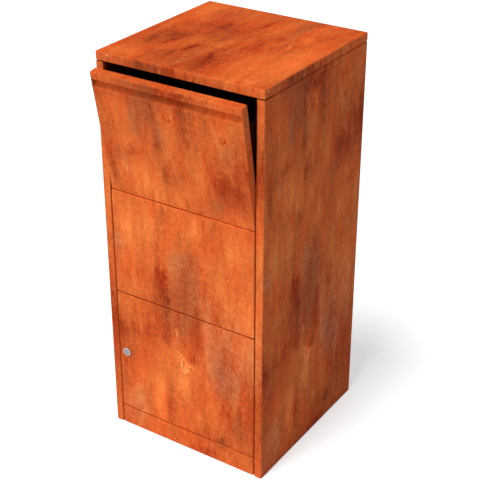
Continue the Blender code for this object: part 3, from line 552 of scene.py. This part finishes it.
class Rust:
    """The rust's faces, noise fields and weather marks on one graph."""

    def __init__(self, graph):
        self.graph = graph
        self.face = Face(graph)
        self.fields = {name: self.field(*recipe) for name, recipe in FIELDS.items()}
        self.frayed = self.blend(FRAY)
        across = self.blend(WANDER_ACROSS, self.face.across)
        self.wandered = graph.combine(across, self.blend(WANDER_UP, self.face.up), 0)

    def field(self, waves_across, waves_up, layer, detail, rough):
        """Noise about 0."""
        vector = self.graph.combine(self.face.across * waves_across, self.face.up * waves_up, layer)
        return self.graph.noise(vector, 1, detail, rough) - 0.5

    def blend(self, weights, total=None):
        """A sum of noise fields, each times its weight, on top of a total if there is one."""
        for name, weight in weights.items():
            share = self.fields[name] * weight
            total = share if total is None else total + share
        return total

    def marks(self, ovals):
        """Soft ovals that blend where they meet: each has its strength in its middle and fades around it."""
        bare = None
        for centre, radius, strength in ovals:
            scale = [1 / (size * MM) for size in radius]
            offset = [-middle / size for middle, size in zip(centre, radius)]
            inputs = {0: self.wandered, 1: (*scale, 0), 2: (*offset, 0)}
            shifted = self.graph.node("ShaderNodeVectorMath", {"operation": "MULTIPLY_ADD"}, inputs)
            outside = self.graph.smooth(self.graph.length(shifted), 0, MARK_FADE, 1 - strength, 1)
            bare = outside if bare is None else bare * outside
        return 1 - bare

    def frayed_marks(self, ovals, low=0.1, high=1.0, fray=1.0, soft=0.4):
        """Marks with ragged edges, gone at the low level and whole at the high one, over a soft wash."""
        mask = self.marks(ovals)
        ragged = self.graph.smooth(mask + self.frayed * fray, low, high)
        ragged = ragged * self.graph.smooth(mask, 0, MARK_RAGGED)
        return mask * soft + ragged * (1 - soft)

    def tone(self):
        bright = self.marks(BRIGHT_MARKS)
        dull = self.marks(DULL_MARKS)
        return self.blend(TONE) + MIDDLE_TONE + bright * BRIGHT_LIFT - dull * DULL_DROP

    def colour(self, tone):
        """The mottled orange of a tone, leaning to yellow in some places and to red in others."""
        graph = self.graph
        hue = self.fields["hue"]
        colour = graph.node("ShaderNodeValToRGB", {"stops": RUST_TONES}, {"Fac": tone})
        colour = graph.tint(graph.smooth(hue, -HUE_STARTS, HUE_TURNED), colour, YELLOWER)
        return graph.tint(graph.smooth(hue, HUE_STARTS, -HUE_TURNED), colour, REDDER)

    def weathered(self, colour):
        """The colour with its dusty, grey, speckled, red, dark, crusted and pitted places."""
        graph = self.graph
        grain, mottle = self.fields["grain"], self.fields["mottle"]
        dusty = self.frayed_marks(DUSTY_MARKS, low=0.05, fray=1.3)
        grey = self.frayed_marks(GREY_MARKS, fray=1.4)
        colour = graph.tint(dusty, colour, DUST)
        colour = graph.tint(grey, colour, GREY_BLOOM)
        specks = graph.smooth(grain + mottle * SPECK_MOTTLE, *SPECK_LEVELS)
        specks = specks * (dusty + grey * SPECKS_ON_GREY + SPECKS_ANYWHERE)
        colour = graph.tint(specks * SPECKS_SHOW, colour, PALE_CRUST)
        colour = graph.tint(self.frayed_marks(RED_MARKS, fray=-1.0, soft=0.6), colour, RED_STAIN)
        colour = graph.tint(self.frayed_marks(DARK_MARKS, fray=-1.2, soft=0.5), colour, DARK_STAIN)
        crust = self.frayed_marks(CRUST_MARKS, low=0.3, high=0.85, fray=1.1, soft=0.35)
        colour = graph.tint(crust, colour, PALE_CRUST)
        pitted = self.marks(PITTED_MARKS)
        pits = graph.smooth(mottle + grain * PIT_GRAIN - pitted * PITTED_PULL, *PIT_LEVELS, 1, 0)
        return graph.mix(pits * PITS_SHOW, colour, UMBER)

    def placed(self, colour):
        """The colour on each face, with painted sheen, painted shade and light in seams and pocket, chips on
        the lid and a darker inside of oxide and painted shade.
        """
        graph = self.graph
        face = self.face
        # Painted light: tops tinted against the sky's reflection on them
        colour = graph.tint(face.level, colour, LEVEL_SHEEN_OFFSET)
        # Painted sheen on the sides
        colour = graph.tint(face.sideways, colour, SIDE_PAINTED_SHEEN)
        # Painted shade along the level seams
        colour = graph.mix(seam_painted_shade(graph, face.place) * SEAM_SHADE_SHOWS, colour, PAINTED_SHADE)
        # Painted light low in the finger pocket, and painted shade close under the grip lip
        pocket_shade, pocket_light = pocket_shade_and_light(graph, face.place)
        colour = graph.tint(pocket_light, colour, POCKET_PAINTED_LIGHT)
        colour = graph.mix(pocket_shade * POCKET_SHADE_SHOWS, colour, PAINTED_SHADE)
        colour = graph.mix(chip_marks(graph, face.place), colour, CHIP)
        # Darker inside: partly oxide, partly painted shade
        colour = graph.mix(face.inside * INSIDE_OXIDE_AND_SHADE_SHOWS, colour, INSIDE_OXIDE_AND_SHADE)
        # Painted light on the walls of the upright seams
        return graph.mix(face.seam_wall_light, colour, SEAM_PAINTED_LIGHT)


def make_rust():
    """Dry rusted steel: drawn-out streaks over a mottled orange, with stained, grey and pale places."""
    material, graph = new_material("weathered_rust")
    rust = Rust(graph)
    tone = rust.tone()
    colour = rust.placed(rust.weathered(rust.colour(tone)))
    relief = rust.blend(RELIEF)
    roughness = graph.smooth(tone, 0.3, 0.8, first=0.85, last=0.95)
    graph.principled(colour, roughness, height=relief, bump_depth=0.3 * MM, specular=0.05)
    return material


def make_dark_steel():
    material, graph = new_material("dark_primed_steel")
    place = graph.place()
    cloud = graph.noise(place, scale=18, detail=5, rough=0.6)
    grain = graph.noise(place, scale=600, detail=3, rough=0.6)
    dust = graph.smooth(cloud, 0.45, 0.7)
    colour = graph.mix(dust * 0.5, PRIMER, PRIMER_DUST)
    roughness = graph.smooth(grain, 0.3, 0.7, first=0.7, last=0.9)
    graph.principled(colour, roughness, height=grain, bump_depth=0.1 * MM, specular=0.02)
    return material


def make_lock_metal():
    """Satin plating, with painted shade in the groove between the lock's rim and its turning core and at the
    rim's edge.
    """
    material, graph = new_material("satin_lock_metal")
    place = graph.place()
    x, y, z = graph.split(place)
    wear = graph.noise(place, scale=220, detail=4, rough=0.6)
    offset = graph.combine(x - LOCK_HINGE["pos_m"][0], z - LOCK_HINGE["pos_m"][2], 0)
    radius = graph.length(offset)
    groove_shade = graph.smooth(radius, *CORE_FADES) * graph.smooth(radius, *GROOVE_FADES, 1, 0)
    rim_shade = graph.smooth(radius, *FACE_FADES)
    core = graph.smooth(radius, *CORE_FADES, 1, 0)
    colour = graph.mix(wear, PLATING, PALE_PLATING)
    colour = graph.mix(core * 0.8, colour, LOCK_CORE)
    # Painted shade in the groove, then at the rim's edge
    colour = graph.mix(groove_shade * 0.85, colour, LOCK_GROOVE_SHADE)
    colour = graph.mix(rim_shade * 0.8, colour, LOCK_RIM_SHADE)
    roughness = graph.smooth(wear, 0.3, 0.7, first=0.32, last=0.46)
    graph.principled(colour, roughness, metallic=0.7 - groove_shade * 0.6, height=wear, bump_depth=0.05 * MM)
    return material


def make_zinc():
    material, graph = new_material("zinc_plating")
    place = graph.place()
    spangle = graph.noise(place, scale=260, detail=4, rough=0.6)
    stain = graph.smooth(graph.noise(place, scale=60, detail=4, rough=0.6), 0.55, 0.75)
    colour = graph.mix(spangle, ZINC, PALE_ZINC)
    colour = graph.mix(stain * 0.5, colour, ZINC_STAIN)
    roughness = graph.smooth(spangle, 0.3, 0.7, first=0.3, last=0.5)
    graph.principled(colour, roughness, metallic=0.8 - stain * 0.6, height=spangle, bump_depth=0.05 * MM)
    return material


def make_rubber():
    material, graph = new_material("black_rubber")
    place = graph.place()
    grain = graph.noise(place, scale=500, detail=3, rough=0.6)
    dust = graph.smooth(graph.noise(place, scale=70, detail=4, rough=0.6), 0.45, 0.75)
    colour = graph.mix(dust * 0.4, RUBBER, RUBBER_DUST)
    roughness = graph.smooth(grain, 0.3, 0.7, first=0.7, last=0.9)
    graph.principled(colour, roughness, height=grain, bump_depth=0.1 * MM, specular=0.3)
    return material


def make_nylon():
    material, graph = new_material("black_nylon")
    cloud = graph.noise(graph.place(), scale=200, detail=3, rough=0.5)
    colour = graph.mix(cloud, NYLON, PALE_NYLON)
    roughness = graph.smooth(cloud, 0.3, 0.7, first=0.4, last=0.55)
    graph.principled(colour, roughness, specular=0.06)
    return material


def dress_nodes():
    """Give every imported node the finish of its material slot."""
    finishes = {
        "rusted_steel": make_rust(),
        "dark_steel": make_dark_steel(),
        "lock_zinc": make_lock_metal(),
        "zinc_fastener": make_zinc(),
        "rubber_buffer": make_rubber(),
        "nylon_washer": make_nylon(),
    }
    for part in frame["record"]["subparts"]:
        slots = frame["nodes"][part["node"]].data.materials
        slots.clear()
        slots.append(finishes[part["material_slot"]])


def seen_share(graph):
    """1 for what the camera, a reflection or glass sees directly, and 0 for light on its way."""
    paths = graph.node("ShaderNodeLightPath").socket.node.outputs
    rays = [Wire(graph, paths[name]) for name in ("Is Camera Ray", "Is Glossy Ray", "Is Transmission Ray")]
    return rays[0].most(rays[1]).most(rays[2])


def build_world():
    world = bpy.data.worlds.new("white_studio")
    world.use_nodes = True
    bpy.context.scene.world = world
    graph = Graph(world.node_tree)
    strength = SKY_STRENGTH + (1 - SKY_STRENGTH) * seen_share(graph)
    sky = graph.node("ShaderNodeBackground", None, {"Color": WHITE, "Strength": strength})
    graph.node("ShaderNodeOutputWorld", None, {"Surface": sky})


def build_floor():
    shape = bmesh.new()
    bmesh.ops.create_circle(shape, cap_ends=True, segments=FLOOR_SIDES, radius=FLOOR_RADIUS)
    bmesh.ops.translate(shape, vec=(0, 0, -FLOOR_DROP), verts=shape.verts)
    mesh = bpy.data.meshes.new("studio_floor")
    shape.to_mesh(mesh)
    shape.free()
    floor = bpy.data.objects.new("studio_floor", mesh)
    bpy.context.scene.collection.objects.link(floor)
    material, graph = new_material("pale_floor")
    matt = graph.node("ShaderNodeBsdfDiffuse", None, {"Color": (*FLOOR_COLOUR, 1)})
    glow_strength = seen_share(graph) * FLOOR_GLOW
    glow = graph.node("ShaderNodeEmission", None, {"Color": WHITE, "Strength": glow_strength})
    both = graph.node("ShaderNodeAddShader", None, {0: matt, 1: glow})
    graph.node("ShaderNodeOutputMaterial", None, {"Surface": both})
    mesh.materials.append(material)


def add_sun(name, azimuth, elevation, strength, angle):
    lamp = bpy.data.lights.new(name, "SUN")
    lamp.energy = strength
    lamp.angle = math.radians(angle)
    sun = bpy.data.objects.new(name, lamp)
    sun.rotation_euler = (math.radians(90 - elevation), 0, math.radians(azimuth))
    bpy.context.scene.collection.objects.link(sun)


def build_lights():
    add_sun("key_light", KEY_AZIMUTH, KEY_ELEVATION, KEY_STRENGTH, KEY_ANGLE)
    add_sun("front_fill", FILL_AZIMUTH, FILL_ELEVATION, FILL_STRENGTH, FILL_ANGLE)


def build_camera():
    scene = bpy.context.scene
    lens = bpy.data.cameras.new("photo_view")
    lens.lens = CAMERA_LENS
    lens.sensor_width = CAMERA_SENSOR
    camera = bpy.data.objects.new("photo_view", lens)
    camera.location = CAMERA_PLACE
    camera.rotation_euler = (math.radians(90 - CAMERA_ELEVATION), 0, math.radians(CAMERA_AZIMUTH))
    scene.collection.objects.link(camera)
    scene.camera = camera
    scene.view_settings.view_transform = "Standard"


build_camera()
dress_nodes()
build_world()
build_floor()
build_lights()
